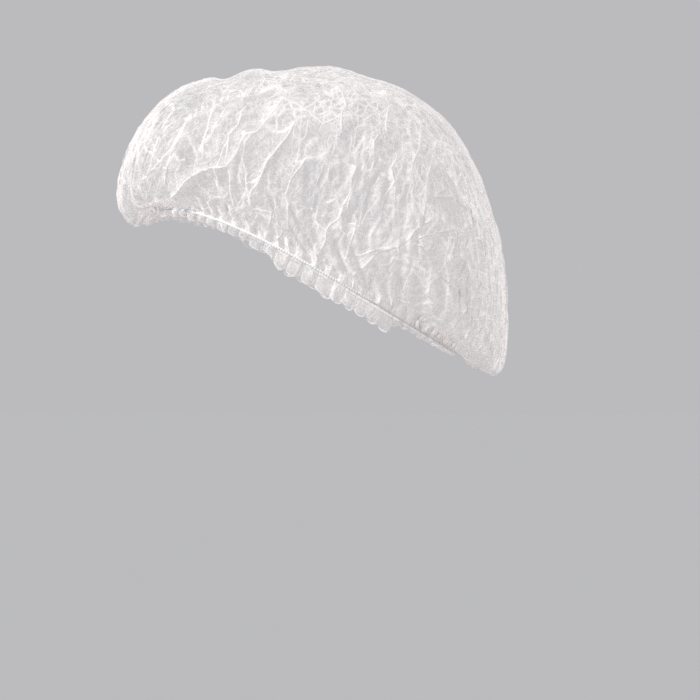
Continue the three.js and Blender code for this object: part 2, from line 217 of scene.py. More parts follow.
@dataclass(frozen=True)
class WornForm:
    """The smooth form that the worn cap keeps, before its folds and gathers."""

    opening_length: float = 195.7 * MM
    opening_width: float = 158 * MM
    opening_tilt: float = math.radians(24)
    hem_arch: float = 12.5 * MM
    front_flatness: float = 5 * MM
    front_reach: float = 110.3 * MM
    back_reach: float = 119.8 * MM
    side_reach: float = 97 * MM
    crown_rise: float = 129.8 * MM
    top_shift: float = 14 * MM
    front_widening: float = 0.06
    side_softness: float = 0.12
    back_fullness: float = 0.85
    back_start: float = 0.28
    step: float = 0.002

    @property
    def hem_up(self) -> Array:
        """The direction out of the opening, towards the crown."""
        return np.array([math.sin(self.opening_tilt), 0, math.cos(self.opening_tilt)])

    def section(self, rise: Array) -> Array:
        """Reads the stations as one smooth curve.

        Args:
            rise: Shares of the stations from the hem to the top.

        Returns:
            The seven station values for each rise, in the last axis.
        """
        table = np.array([list(vars(row).values()) for row in STATIONS])
        last = len(table) - 1
        place = np.clip(rise, 0, 1) * last
        row = np.clip(np.floor(place).astype(int), 0, last - 1)
        part = (place - row)[..., None]
        before, here, after, beyond = (table[np.clip(row + i, 0, last)] for i in (-1, 0, 1, 2))
        return 0.5 * (
            2 * here
            + (after - before) * part
            + (2 * before - 5 * here + 4 * after - beyond) * part**2
            + (3 * here - before - 3 * after + beyond) * part**3
        )

    def point(self, angle: Array, rise: Array) -> Array:
        """Places points on the smooth form.

        Args:
            angle: Radians round the opening, from the front over the near side.
            rise: Shares from the hem to the top.

        Returns:
            Points in metres, in the last axis.
        """
        angle, rise = np.broadcast_arrays(np.asarray(angle, float), np.asarray(rise, float))
        hem, front, front_up, back, back_up, side, side_up = np.moveaxis(self.section(rise), -1, 0)
        run = self.opening_length / 2 * math.cos(self.opening_tilt)
        lift = self.opening_length / 2 * math.sin(self.opening_tilt)
        free = 1 - hem
        front_x = -(hem * run + free * (front * (self.front_reach + self.top_shift) - self.top_shift))
        back_x = hem * run + free * (back * (self.back_reach - self.top_shift) + self.top_shift)
        side_y = hem * self.opening_width / 2 + free * side * self.side_reach
        front_z = lift + front_up * (self.crown_rise - lift)
        back_z = -lift + back_up * (self.crown_rise + lift)
        side_z = self.hem_arch + side_up * (self.crown_rise - self.hem_arch)
        cosine, sine = np.cos(angle), np.sin(angle)
        soft = self.side_softness
        side_bend = (np.hypot(sine, soft) - soft) / (math.hypot(1, soft) - soft)
        back_blend = self.back_fullness * np.maximum(0, -cosine) * np.minimum(1, rise / self.back_start)
        side_bend = side_bend + (sine**2 - side_bend) * back_blend
        middle = (front_z + back_z) / 2
        flat = 2 * self.front_flatness * (1 - rise) ** 2
        x = (front_x + back_x) / 2 - (back_x - front_x) / 2 * cosine
        y = -side_y * sine * (1 - self.front_widening * cosine)
        z = middle + (front_z - back_z) / 2 * cosine
        z = z + (side_z - middle) * side_bend
        z = z + flat * side_bend * cosine
        return np.stack([x, y, z], -1)

    def outward(self, angle: Array, rise: Array) -> Array:
        """Gives the form's outward direction.

        Args:
            angle: Radians round the opening.
            rise: Shares from the hem to the top.

        Returns:
            Unit vectors in the last axis.
        """
        step = self.step
        around = self.point(angle + step, rise) - self.point(angle - step, rise)
        along = self.point(angle, np.minimum(1, rise + step)) - self.point(angle, np.maximum(0, rise - step))
        normal = np.cross(around, along)
        length = np.linalg.norm(normal, axis=-1, keepdims=True)
        return np.where(length > 0, normal / np.maximum(length, 1e-15), [0.0, 0.0, 1.0])

    def beside_hem(self, angle: Array, up: Array, out: Array) -> Array:
        """Places points beside the hem.

        Args:
            angle: Radians round the opening.
            up: Metres from the hem towards the crown.
            out: Metres from the hem outwards.

        Returns:
            Points in metres, in the last axis.
        """
        zero = np.zeros_like(angle)
        tangent = self.point(angle + self.step, zero) - self.point(angle - self.step, zero)
        outward = np.cross(tangent, self.hem_up)
        outward /= np.linalg.norm(outward, axis=-1, keepdims=True)
        return self.point(angle, zero) + up[..., None] * self.hem_up + out[..., None] * outward

    def hem_length(self) -> float:
        """The length round the opening."""
        turn = np.linspace(0, TURN, 361)
        return float(np.linalg.norm(np.diff(self.point(turn, turn * 0), axis=0), axis=1).sum())


@dataclass(frozen=True)
class Nonwoven:
    """Spunbond polypropylene nonwoven: fine random fibres, thin enough to see through, matt."""

    # Filaments laid at random and bonded at points leave a cloudy, see-through veil: bare between
    # the fibres, and white where a crease stacks the cloth and lines it up with the light.
    name: str = "spunbond_nonwoven"
    colour: str = "F8F4F3"
    cover: float = 0.09
    fibre_cover: float = 0.38
    cloud_cover: float = 0.12
    crease_cover: float = 0.8
    crinkle_cover: float = 0.9
    fold_cover: float = 1.0
    fold_line: float = 0.75 * MM
    gather_line: float = 0.75
    # Real filaments are far under 0.1 mm thick. These are coarser, so that they show at this distance.
    fibre_length: float = 5.0 * MM
    fibre_width: float = 0.6 * MM
    fibre_angles: tuple[float, ...] = (12, 49, 83, 118, 156)
    cloud_size: float = 9 * MM
    # The bond points are a little wider apart than real ones, which would be lost here.
    bond_pitch: float = 1.3 * MM
    crinkle_pitch: float = 12 * MM
    crinkle_width: float = 0.6 * MM
    crinkle_stretch: float = 3.8
    crinkle_bend: float = 0.009
    light_through: float = 0.45
    roughness: float = 0.75
    bump_height: float = 0.3 * MM

    def strokes(self, tree: bpy.types.NodeTree, form: bpy.types.NodeSocket) -> bpy.types.NodeSocket:
        """Draws the fibres, coarser than the real ones so that they show.

        Args:
            tree: The material's tree.
            form: The place on the smooth worn form, in metres.

        Returns:
            A socket that is high on a fibre.
        """
        total = None
        for index, angle in enumerate(self.fibre_angles):
            turned = add_node(
                tree,
                "Mapping",
                {
                    "Vector": form,
                    "Location": (index * 0.37, index * 0.91, index * 0.53),
                    "Rotation": (math.radians(35 * (index % 3 - 1)), math.radians(angle), 0),
                    "Scale": (self.fibre_length, self.fibre_length, self.fibre_width),
                },
                vector_type="TEXTURE",
            )
            field_node = add_node(
                tree,
                "TexNoise",
                {"Vector": turned.outputs[0], "Scale": 1.0, "Detail": 1.0, "Distortion": 0.5},
            )
            stroke = add_node(
                tree, "MapRange", {"Value": field_node.outputs[0], "From Min": 0.56, "From Max": 0.7}
            ).outputs[0]
            if total is None:
                total = stroke
            else:
                total = add_node(tree, "Math", {0: total, 1: stroke}, operation="MAXIMUM").outputs[0]
        return total

    def crinkles(self, tree: bpy.types.NodeTree, form: bpy.types.NodeSocket) -> bpy.types.NodeSocket:
        """Draws the net of sharp fine creases, longer from hem to top than round the cap.

        Args:
            tree: The material's tree.
            form: The place on the smooth worn form, in metres.

        Returns:
            A socket that is high on a crease.
        """
        warp = add_node(tree, "TexNoise", {"Vector": form, "Scale": 70.0, "Detail": 3.0})
        bent = add_node(
            tree,
            "VectorMath",
            {0: warp.outputs["Color"], 1: (self.crinkle_bend,) * 3, 2: form},
            operation="MULTIPLY_ADD",
        )
        leant = add_node(
            tree,
            "Mapping",
            {
                "Vector": bent.outputs[0],
                "Rotation": (0, CRUMPLE_LEAN, 0),
                "Scale": (1, 1, self.crinkle_stretch),
            },
            vector_type="TEXTURE",
        )
        lines = None
        parts = add_node(tree, "SeparateXYZ", {0: form})
        rear = add_node(
            tree, "Math", {0: parts.outputs[0], 1: 0.6, 2: parts.outputs[2]}, operation="MULTIPLY_ADD"
        )
        fine = add_node(
            tree,
            "MapRange",
            {"Value": rear.outputs[0], "From Min": 0.05, "From Max": 0.11, "To Min": 0.2, "To Max": 0.9},
        ).outputs[0]
        for share, weight in ((1.0, 1.0), (0.55, fine)):
            cells = add_node(
                tree,
                "TexVoronoi",
                {"Vector": leant.outputs[0], "Scale": 1 / (self.crinkle_pitch * share)},
                feature="DISTANCE_TO_EDGE",
            )
            edge = add_node(
                tree,
                "MapRange",
                {
                    "Value": cells.outputs["Distance"],
                    "From Min": 0.0,
                    "From Max": self.crinkle_width / (self.crinkle_pitch * share),
                    "To Min": 1.0,
                    "To Max": 0.0,
                },
            ).outputs[0]
            edge = add_node(tree, "Math", {0: edge, 1: weight}, operation="MULTIPLY").outputs[0]
            if lines is None:
                lines = edge
            else:
                lines = add_node(tree, "Math", {0: lines, 1: edge}, operation="MAXIMUM").outputs[0]
        fade = add_node(tree, "TexNoise", {"Vector": form, "Scale": 55.0, "Detail": 2.0})
        shown = add_node(tree, "MapRange", {"Value": fade.outputs[0], "From Min": 0.42, "From Max": 0.54})
        return add_node(tree, "Math", {0: lines, 1: shown.outputs[0]}, operation="MULTIPLY").outputs[0]

    def marks(self, tree: bpy.types.NodeTree, place: str, widths: tuple[float, ...]) -> bpy.types.NodeSocket:
        """Draws the lines of the main folds or of the gathers from where they are stored.

        Args:
            tree: The material's tree.
            place: The attribute: fold holds a signed distance and a strength, and gather holds
                the cosine and the sine of the gathers' phase and a strength.
            widths: The lines' half width, and for gathers that of the weaker ones between too.

        Returns:
            A socket that is high on a line.
        """
        stored = add_node(tree, "Attribute", {}, attribute_name=place).outputs["Vector"]
        parts = add_node(tree, "SeparateXYZ", {0: stored}).outputs
        strength = parts[1]
        away = parts[0]
        if place == "gather":
            strength = parts[2]
            away = add_node(tree, "Math", {0: parts[1], 1: parts[0]}, operation="ARCTAN2").outputs[0]
        away = add_node(tree, "Math", {0: away}, operation="ABSOLUTE").outputs[0]
        total = 0.0
        for start, width, weight in zip((0.0, math.pi), widths, (1.0, 0.6)):
            reach = start + width if start == 0 else start - width
            line = add_node(
                tree,
                "MapRange",
                {"Value": away, "From Min": start, "From Max": reach, "To Min": weight, "To Max": 0.0},
            ).outputs[0]
            total = add_node(tree, "Math", {0: line, 1: total}, operation="MAXIMUM").outputs[0]
        return add_node(tree, "Math", {0: total, 1: strength}, operation="MULTIPLY").outputs[0]

    def build(self) -> bpy.types.Material:
        """Makes the material.

        Returns:
            The material.
        """
        material = bpy.data.materials.new(self.name)
        material.use_nodes = True
        tree = material.node_tree
        tree.nodes.clear()
        flat = add_node(tree, "Attribute", {}, attribute_name="flat").outputs["Vector"]
        crease = add_node(tree, "Attribute", {}, attribute_name="crease").outputs["Fac"]
        form = add_node(tree, "Attribute", {}, attribute_name="form").outputs["Vector"]
        fibres = self.strokes(tree, form)
        crinkles = self.crinkles(tree, form)
        clouds = add_node(
            tree, "TexNoise", {"Vector": flat, "Scale": 1 / self.cloud_size, "Detail": 4.0, "Roughness": 0.65}
        )
        turned = add_node(
            tree,
            "Mapping",
            {"Vector": flat, "Rotation": (0, 0, math.radians(38)), "Scale": (1 / self.bond_pitch,) * 3},
        )
        bonds = add_node(tree, "TexVoronoi", {"Vector": turned.outputs[0], "Scale": 1.0, "Randomness": 0.25})
        folds = self.marks(tree, "fold", (self.fold_line,))
        gathers = self.marks(tree, "gather", (self.gather_line, 0.8 * self.gather_line))
        cover = self.cover
        for value, weight in (
            (folds, self.fold_cover),
            (gathers, self.fold_cover),
            (fibres, self.fibre_cover),
            (crinkles, self.crinkle_cover),
            (crease, self.crease_cover),
            (clouds.outputs[0], self.cloud_cover),
            (bonds.outputs["Distance"], -0.1),
        ):
            cover = add_node(
                tree, "Math", {0: value, 1: weight, 2: cover}, operation="MULTIPLY_ADD"
            ).outputs[0]
        cover = add_node(tree, "Math", {0: cover, 1: 0.97}, operation="MINIMUM").outputs[0]
        height = add_node(tree, "Math", {0: fibres, 1: 0.4, 2: crinkles}, operation="MULTIPLY_ADD").outputs[0]
        height = add_node(tree, "Math", {0: folds, 1: 1.5, 2: height}, operation="MULTIPLY_ADD").outputs[0]
        height = add_node(tree, "Math", {0: gathers, 1: 1.5, 2: height}, operation="MULTIPLY_ADD").outputs[0]
        bump = add_node(tree, "Bump", {"Height": height, "Distance": self.bump_height, "Strength": 0.8})
        colour = linear(self.colour)
        face = add_node(
            tree,
            "BsdfPrincipled",
            {"Base Color": colour, "Roughness": self.roughness, "Normal": bump.outputs[0]},
        )
        through = add_node(tree, "BsdfTranslucent", {"Color": colour, "Normal": bump.outputs[0]})
        cloth = add_node(
            tree, "MixShader", {0: self.light_through, 1: face.outputs[0], 2: through.outputs[0]}
        )
        clear = add_node(tree, "BsdfTransparent", {})
        mixed = add_node(tree, "MixShader", {0: cover, 1: clear.outputs[0], 2: cloth.outputs[0]})
        add_node(tree, "OutputMaterial", {"Surface": mixed.outputs[0]})
        return material


@dataclass(frozen=True)
class CoveredElastic:
    """White ribbed elastic: thin rubber wrapped in polyester thread, matt with a faint sheen."""

    # Thread wound over rubber gives short ribs that catch the light one by one.
    name: str = "covered_elastic"
    colour: str = "DADADC"
    roughness: float = 0.6
    thread_pitch: float = 0.5 * MM

    def build(self) -> bpy.types.Material:
        """Makes the material.

        Returns:
            The material.
        """
        material = bpy.data.materials.new(self.name)
        material.use_nodes = True
        tree = material.node_tree
        tree.nodes.clear()
        place = add_node(tree, "TexCoord", {}).outputs["Object"]
        threads = add_node(tree, "TexNoise", {"Vector": place, "Scale": 1 / self.thread_pitch, "Detail": 2.0})
        bump = add_node(
            tree, "Bump", {"Height": threads.outputs[0], "Distance": 0.1 * MM, "Strength": 0.6}
        )
        face = add_node(
            tree,
            "BsdfPrincipled",
            {
                "Base Color": linear(self.colour),
                "Roughness": self.roughness,
                "Sheen Weight": 0.2,
                "Normal": bump.outputs[0],
            },
        )
        add_node(tree, "OutputMaterial", {"Surface": face.outputs[0]})
        return material


@dataclass(frozen=True)
class StudioPaper:
    """Matt pale paper of the studio floor."""

    # Uncoated paper scatters light evenly, so the floor shows no shine.
    name: str = "studio_paper"
    colour: str = "9C9C9E"

    def build(self) -> bpy.types.Material:
        """Makes the material.

        Returns:
            The material.
        """
        material = bpy.data.materials.new(self.name)
        material.use_nodes = True
        tree = material.node_tree
        tree.nodes.clear()
        face = add_node(tree, "BsdfDiffuse", {"Color": linear(self.colour)})
        add_node(tree, "OutputMaterial", {"Surface": face.outputs[0]})
        return material


def grid_piece(name: str, columns: int, rows: int, place: Place) -> bpy.types.Object:
    """Wraps a square grid into a piece and closes any seam.

    Args:
        name: The piece's name.
        columns: Squares along the first direction.
        rows: Squares along the second direction.
        place: Gives points for first and second shares, both from nought to one.

    Returns:
        The piece, linked to the scene.
    """
    shape = bmesh.new()
    bmesh.ops.create_grid(shape, x_segments=columns, y_segments=rows, size=0.5)
    mesh = bpy.data.meshes.new(name)
    shape.to_mesh(mesh)
    corner = read_points(mesh)
    write_points(mesh, place(corner[:, 0] + 0.5, corner[:, 1] + 0.5))
    shape.clear()
    shape.from_mesh(mesh)
    bmesh.ops.remove_doubles(shape, verts=shape.verts, dist=1e-3 * MM)
    shape.to_mesh(mesh)
    shape.free()
    piece = bpy.data.objects.new(name, mesh)
    bpy.context.scene.collection.objects.link(piece)
    return piece


def cloth_area(piece: bpy.types.Object) -> float:
    """Adds up a piece's faces, in square metres."""
    return sum(face.area for face in piece.data.polygons)


def take_place(piece: bpy.types.Object, finish: bpy.types.Material, node: str) -> None:
    """Gives a piece its finish and the place of a node in the frame.

    Args:
        piece: The piece.
        finish: Its material.
        node: The node that it replaces.
    """
    piece.data.materials.clear()
    piece.data.materials.append(finish)
    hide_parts(node)
    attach(piece, "root")


def read_points(mesh: bpy.types.Mesh) -> Array:
    """Reads a mesh's points.

    Args:
        mesh: The mesh.

    Returns:
        One row of x, y and z for each vertex.
    """
    points = np.empty(len(mesh.vertices) * 3)
    mesh.vertices.foreach_get("co", points)
    return points.reshape(-1, 3)


def write_points(mesh: bpy.types.Mesh, points: Array) -> None:
    """Moves a mesh's points.

    Args:
        mesh: The mesh.
        points: One row of x, y and z for each vertex.
    """
    mesh.vertices.foreach_set("co", points.ravel())
    mesh.update()


def write_attribute(mesh: bpy.types.Mesh, name: str, kind: str, values: Array) -> None:
    """Stores a value at each vertex.

    Args:
        mesh: The mesh.
        name: The attribute's name.
        kind: FLOAT or FLOAT_VECTOR.
        values: One value or row for each vertex.
    """
    layer = mesh.attributes.get(name) or mesh.attributes.new(name, kind, "POINT")
    layer.data.foreach_set("value" if kind == "FLOAT" else "vector", np.asarray(values, float).ravel())


def read_attribute(mesh: bpy.types.Mesh, name: str) -> Array:
    """Reads a vector that is stored at each vertex.

    Args:
        mesh: The mesh.
        name: The attribute's name.

    Returns:
        One row for each vertex.
    """
    rows = np.empty(len(mesh.vertices) * 3)
    mesh.attributes[name].data.foreach_get("vector", rows)
    return rows.reshape(-1, 3)


def route_distance(places: Array, route: Array) -> tuple[Array, Array]:
    """Measures how far places in the side view are from a route, and on which side of it.

    Args:
        places: Rows of x and z.
        route: The route's corners in the same view.

    Returns:
        Signed distances, and a share that fades to nought towards the route's ends.
    """
    best = np.full(len(places), np.inf)
    side = np.ones(len(places))
    along = np.zeros(len(places))
    lengths = np.linalg.norm(np.diff(route, axis=0), axis=1)
    passed = 0.0
    for start, end, length in zip(route[:-1], route[1:], lengths):
        run = end - start
        share = np.clip(((places - start) @ run) / (length * length), 0, 1)
        away = places - start - share[:, None] * run
        gap = np.linalg.norm(away, axis=1)
        nearer = gap < best
        best = np.where(nearer, gap, best)
        side = np.where(nearer, np.where(run[0] * away[:, 1] < run[1] * away[:, 0], -1, 1), side)
        along = np.where(nearer, (passed + share * length) / lengths.sum(), along)
        passed += length
    return best * side, smooth(0, 0.12, along) * smooth(1, 0.88, along)


def bake_modifiers(piece: bpy.types.Object) -> None:
    """Puts what a piece's modifiers and shape keys give into its mesh, and removes them.

    Args:
        piece: The piece.
    """
    graph = bpy.context.evaluated_depsgraph_get()
    mesh = bpy.data.meshes.new_from_object(piece.evaluated_get(graph))
    mesh.name = piece.name
    piece.modifiers.clear()
    piece.shape_key_clear()
    piece.vertex_groups.clear()
    piece.data = mesh


def neighbour_mean(mesh: bpy.types.Mesh, values: Array) -> Array:
    """Averages each vertex's neighbours.

    Args:
        mesh: The mesh.
        values: One row for each vertex.

    Returns:
        The neighbours' mean for each vertex.
    """
    ends = np.empty(len(mesh.edges) * 2, int)
    mesh.edges.foreach_get("vertices", ends)
    first, second = ends.reshape(-1, 2).T
    total = np.zeros_like(values)
    np.add.at(total, first, values[second])
    np.add.at(total, second, values[first])
    count = np.bincount(ends, minlength=len(values))
    return total / np.maximum(count, 1)[:, None]


@dataclass
class Crown:
    """The puffed crown, made as the flat disc of cloth that the elastic gathers."""

    form: WornForm = field(default_factory=WornForm)
    disc_width: float = 0.45
    rings: int = 75
    lobes: int = 76
    loosest_gather: float = 1.6
    slack: float = 0.04
    fold_height: float = 3.2 * MM
    fold_width: float = 6 * MM
    ridge_height: float = 1.1 * MM
    ridge_width: float = 1.0 * MM
    band_width: float = 4.5 * MM
    crumple_pitch: float = 15 * MM
    crumple_stretch: float = 2.3
    crumple_depth: float = 1.1 * MM
    crumple_bend: float = 3.5 * MM
    gather_reach: float = 15 * MM
    gather_depth: float = 2.0 * MM
    bunch_reach: float = 2.0 * MM
    settle: float = 1.0 * MM
    seed: int = 7
    far_shift: float = -9 * MM
    far_rise: float = 0.94
    ripple: float = 1.2 * MM
    seed_lift: float = 0.6 * MM
    hold: float = 0.54
    puff_hold: float = 0.88
    frames: int = 34
    pull_frames: int = 12
    sharpen: float = 0.35

    def disc_place(self, first: Array, second: Array) -> tuple[Array, Array]:
        """Maps the square grid to the disc.

        Args:
            first: Shares across the grid.
            second: Shares up the grid.

        Returns:
            Radians round from the front, and shares of the disc's radius.
        """
        x, y = 2 * first - 1, 2 * second - 1
        radius = np.maximum(abs(x), abs(y))
        wide = abs(x) >= abs(y)
        safe_x, safe_y = np.where(x == 0, 1, x), np.where(y == 0, 1, y)
        turn = np.where(wide, math.pi / 4 * y / safe_x, math.pi / 2 - math.pi / 4 * x / safe_y)
        signed = np.where(wide, x, y)
        angle = np.arctan2(signed * np.sin(turn), signed * np.cos(turn))
        return np.mod(angle + math.pi, TURN), radius

    def lengths(self) -> tuple[Array, Array, Array, Array]:
        """Measures the form along its meridians.

        Returns:
            Angles, rises, points on that grid, and the length from the hem at each.
        """
        angles = np.linspace(0, TURN, 361)
        rises = np.linspace(0, 1, 401)
        points = self.form.point(angles[:, None], rises[None, :])
        steps = np.linalg.norm(np.diff(points, axis=1), axis=2)
        run = np.concatenate([np.zeros((len(angles), 1)), np.cumsum(steps, 1)], 1)
        return angles, rises, points, run

    def spread(self, angle: Array, radius: Array) -> tuple[Array, Array]:
        """Lays the disc evenly along the form's meridians.

        Args:
            angle: Radians round from the front.
            radius: Shares of the disc's radius.

        Returns:
            Rises on the form, and each meridian's whole length.
        """
        angles, rises, _, run = self.lengths()
        place = angle / TURN * (len(angles) - 1)
        low = np.clip(np.floor(place).astype(int), 0, len(angles) - 2)
        part = place - low
        whole = run[:, -1]
        found = np.zeros((2, len(angle)))
        for row in range(len(angles)):
            for side in (0, 1):
                chosen = low + side == row
                if chosen.any():
                    wanted = (1 - radius[chosen]) * whole[row]
                    found[side, chosen] = np.interp(wanted, run[row], rises)
        rise = found[0] * (1 - part) + found[1] * part
        return rise, whole[low] * (1 - part) + whole[low + 1] * part

    def loose_shape(self, angle: Array, radius: Array, meridian: Array) -> Array:
        """Gives the cloth's unstretched shape: a bell as wide as the gathering allows.

        Args:
            angle: Radians round from the front.
            radius: Shares of the disc's radius.
            meridian: Each point's meridian length.

        Returns:
            Points in metres.
        """
        _, rises, points, run = self.lengths()
        round_form = np.linalg.norm(np.diff(points, axis=0), axis=2).sum(0)
        mean = run[:-1, -1].mean()
        shares = np.linspace(0, 1, 101)
        side = run[90] * mean / run[90, -1]
        form_round = np.interp(np.interp((1 - shares) * mean, side, rises), rises, round_form)
        cloth_round = np.minimum(TURN * mean * shares * (1 + self.slack), form_round * self.loosest_gather)
        bell_radius = cloth_round / TURN
        step = mean / (len(shares) - 1) * (1 + self.slack)
        fall = -np.cumsum(np.sqrt(np.maximum(step**2 - np.gradient(bell_radius) ** 2, 0)))
        out = np.interp(radius, shares, bell_radius) * meridian / mean
        down = np.interp(radius, shares, fall) * meridian / mean + self.form.crown_rise
        flat = np.stack([-np.cos(angle) * out, -np.sin(angle) * out, down], 1)
        tilt = self.form.opening_tilt
        cosine, sine = math.cos(tilt), math.sin(tilt)
        lean = np.array([[cosine, 0, sine], [0, 1, 0], [-sine, 0, cosine]])
        return flat @ lean.T

    def fold_field(self, points: Array, width: float) -> tuple[Array, Array, Array]:
        """Finds how much each point is on a main fold.

        Args:
            points: Points on the smooth form.
            width: The fold's width in metres.

        Returns:
            The folds' lift as a share, the signed distance from the nearest fold with the
            strength of its line, and the share of the folds' broad bands.
        """
        ridge = np.zeros(len(points))
        band = np.zeros(len(points))
        line = np.stack([np.full(len(points), 1.0), np.zeros(len(points))], 1)
        for fold in FOLDS:
            for side in Side:
                route = np.array(fold.route) * MM
                if side is Side.FAR and fold.height > 0:
                    route = route * [1, self.far_rise] + [self.far_shift, 0]
                here = points[:, 1] <= 0 if side is Side.NEAR else points[:, 1] > 0
                gap, fade = route_distance(points[:, [0, 2]], route)
                gap = np.where(here, gap, 1.0)
                if fold.height < 0:
                    fade = np.ones(len(points))
                lift = fold.height * (0.3 + 0.7 * fade) * np.exp(-((gap / (fold.width * width)) ** 2))
                ridge = np.where(abs(lift) > abs(ridge), lift, ridge)
                band = np.maximum(band, fold.band * fade * np.exp(-((gap / self.band_width) ** 2)))
                nearer = abs(gap) < abs(line[:, 0])
                strong = min(1.0, 0.55 + fold.height) * fade * (abs(gap) < 4 * MM) * (fold.height > 0)
                line = np.where(nearer[:, None], np.stack([gap, strong], 1), line)
        return ridge, line, band

    def crumple_field(self, points: Array) -> tuple[Array, Array]:
        """Finds the creases between the crumpled cloth's facets.

        Args:
            points: Points on the smooth form.

        Returns:
            Distances from the nearest crease in metres, and how strong it is, from nought to one.
        """
        draw = np.random.default_rng(self.seed)
        bend = np.stack([roughness_of(points, 14 * MM, shift) for shift in (3.1, 17.3, 41.9)], 1)
        bent = points + bend * self.crumple_bend
        cosine, sine = math.cos(CRUMPLE_LEAN), math.sin(CRUMPLE_LEAN)
        leant = np.stack([bent[:, 0] * cosine - bent[:, 2] * sine, bent[:, 1], bent[:, 0] * sine], 1)
        leant[:, 2] = (leant[:, 2] + bent[:, 2] * cosine) / self.crumple_stretch
        low, high = leant.min(0) - self.crumple_pitch, leant.max(0) + self.crumple_pitch
        count = int(np.prod(high - low) / self.crumple_pitch**3)
        tree = kdtree.KDTree(count)
        for index, seed in enumerate(draw.uniform(low, high, (count, 3)).tolist()):
            tree.insert(seed, index)
        tree.balance()
        gaps = np.array([[found[2] for found in tree.find_n(row, 2)] for row in leant.tolist()])
        strength = smooth(-0.25, 0.4, roughness_of(points, 30 * MM, 9.7))
        return (gaps[:, 1] - gaps[:, 0]) / 2, strength

    def gather_field(self, angle: Array, height: Array) -> tuple[Array, Array]:
        """Finds the upright gathers above the elastic.

        Args:
            angle: Radians round from the front.
            height: Metres of cloth above the hem.

        Returns:
            The gathers' phase in radians, and how strong they are, from nought to one.
        """
        draw = np.random.default_rng(self.seed + 1)
        ring = np.stack([np.cos(angle), np.sin(angle), height * 4], 1)
        drift = roughness_of(ring, 0.16, 5.3)
        phase = self.lobes * angle / TURN + 0.45 * drift
        phase = phase + 0.5 * drift * np.minimum(height / self.gather_reach, 2)
        tall = self.gather_reach * draw.uniform(0.6, 1.3, self.lobes)
        degrees = np.degrees(np.minimum(angle, TURN - angle))
        share = np.interp(degrees, [0, 55, 72, 120, 135, 180], [1.2, 1.2, 0.65, 0.65, 1, 1.2])
        fade = np.clip(1 - height / (tall[np.round(phase).astype(int) % self.lobes] * share), 0, 1)
        return TURN * phase, fade**0.4 * smooth(0.6 * MM, 2 * MM, height)

    def worn_shape(self, angle: Array, rise: Array) -> Array:
        """Gives the shape that the cloth is drawn to, with seeds for its folds.

        Args:
            angle: Radians round from the front.
            rise: Shares from the hem to the top.

        Returns:
            Points in metres.
        """
        base = self.form.point(angle, rise)
        hem = np.clip(1 - rise / 0.14, 0, 1)
        seeds = roughness_of(base * [1, 1, 0.5], 8 * MM)
        lift = self.seed_lift * seeds * np.clip(rise / 0.05, 0, 1)
        free = 0.15 + 0.85 * smooth(0, 0.08, rise)
        lift += self.ripple * hem * free * np.cos(self.lobes * angle + 1.2 * seeds * hem * (rise > 0))
        ridge, _, _ = self.fold_field(base, self.fold_width)
        lift += self.fold_height * ridge * np.clip(rise / 0.1, 0, 1)
        return base + self.form.outward(angle, rise) * lift[:, None]

    def simulate(self, piece: bpy.types.Object, radius: Array, worn: Array) -> None:
        """Gathers the loose cloth into the worn form by a cloth simulation and keeps the result.

        Args:
            piece: The cloth in its loose shape.
            radius: Shares of the disc's radius.
            worn: The shape that the cloth is drawn to.
        """
        piece.shape_key_add(name="loose", from_mix=False)
        key = piece.shape_key_add(name="worn", from_mix=False)
        key.data.foreach_set("co", worn.ravel())
        key.value = 0
        key.keyframe_insert("value", frame=1)
        key.value = 1
        key.keyframe_insert("value", frame=self.pull_frames)
        angle = np.arctan2(worn[:, 1], worn[:, 0])
        puff = np.abs(np.cos(angle)) ** 3 * smooth(0.62, 0.8, radius)
        held = np.maximum(self.hold + (self.puff_hold - self.hold) * puff, smooth(0.98, 1.0, radius))
        group = piece.vertex_groups.new(name="held")
        for index, weight in enumerate(held.tolist()):
            group.add([index], weight, "REPLACE")
        cloth = piece.modifiers.new("cloth", "CLOTH")
        settings = cloth.settings
        settings.quality = 6
        settings.mass = 0.1
        settings.tension_stiffness = 30
        settings.compression_stiffness = 30
        settings.shear_stiffness = 10
        settings.bending_stiffness = 0.002
        settings.tension_damping = 5
        settings.compression_damping = 5
        settings.bending_damping = 0.5
        settings.vertex_group_mass = group.name
        settings.pin_stiffness = 1
        settings.effector_weights.gravity = 0
        settings.use_pressure = True
        settings.uniform_pressure_force = 0.1
        cloth.collision_settings.use_collision = False
        cloth.collision_settings.use_self_collision = False
        cloth.point_cache.frame_end = self.frames
        for step in range(1, self.frames + 1):
            bpy.context.scene.frame_set(step)
        bake_modifiers(piece)
        bpy.context.scene.frame_set(1)

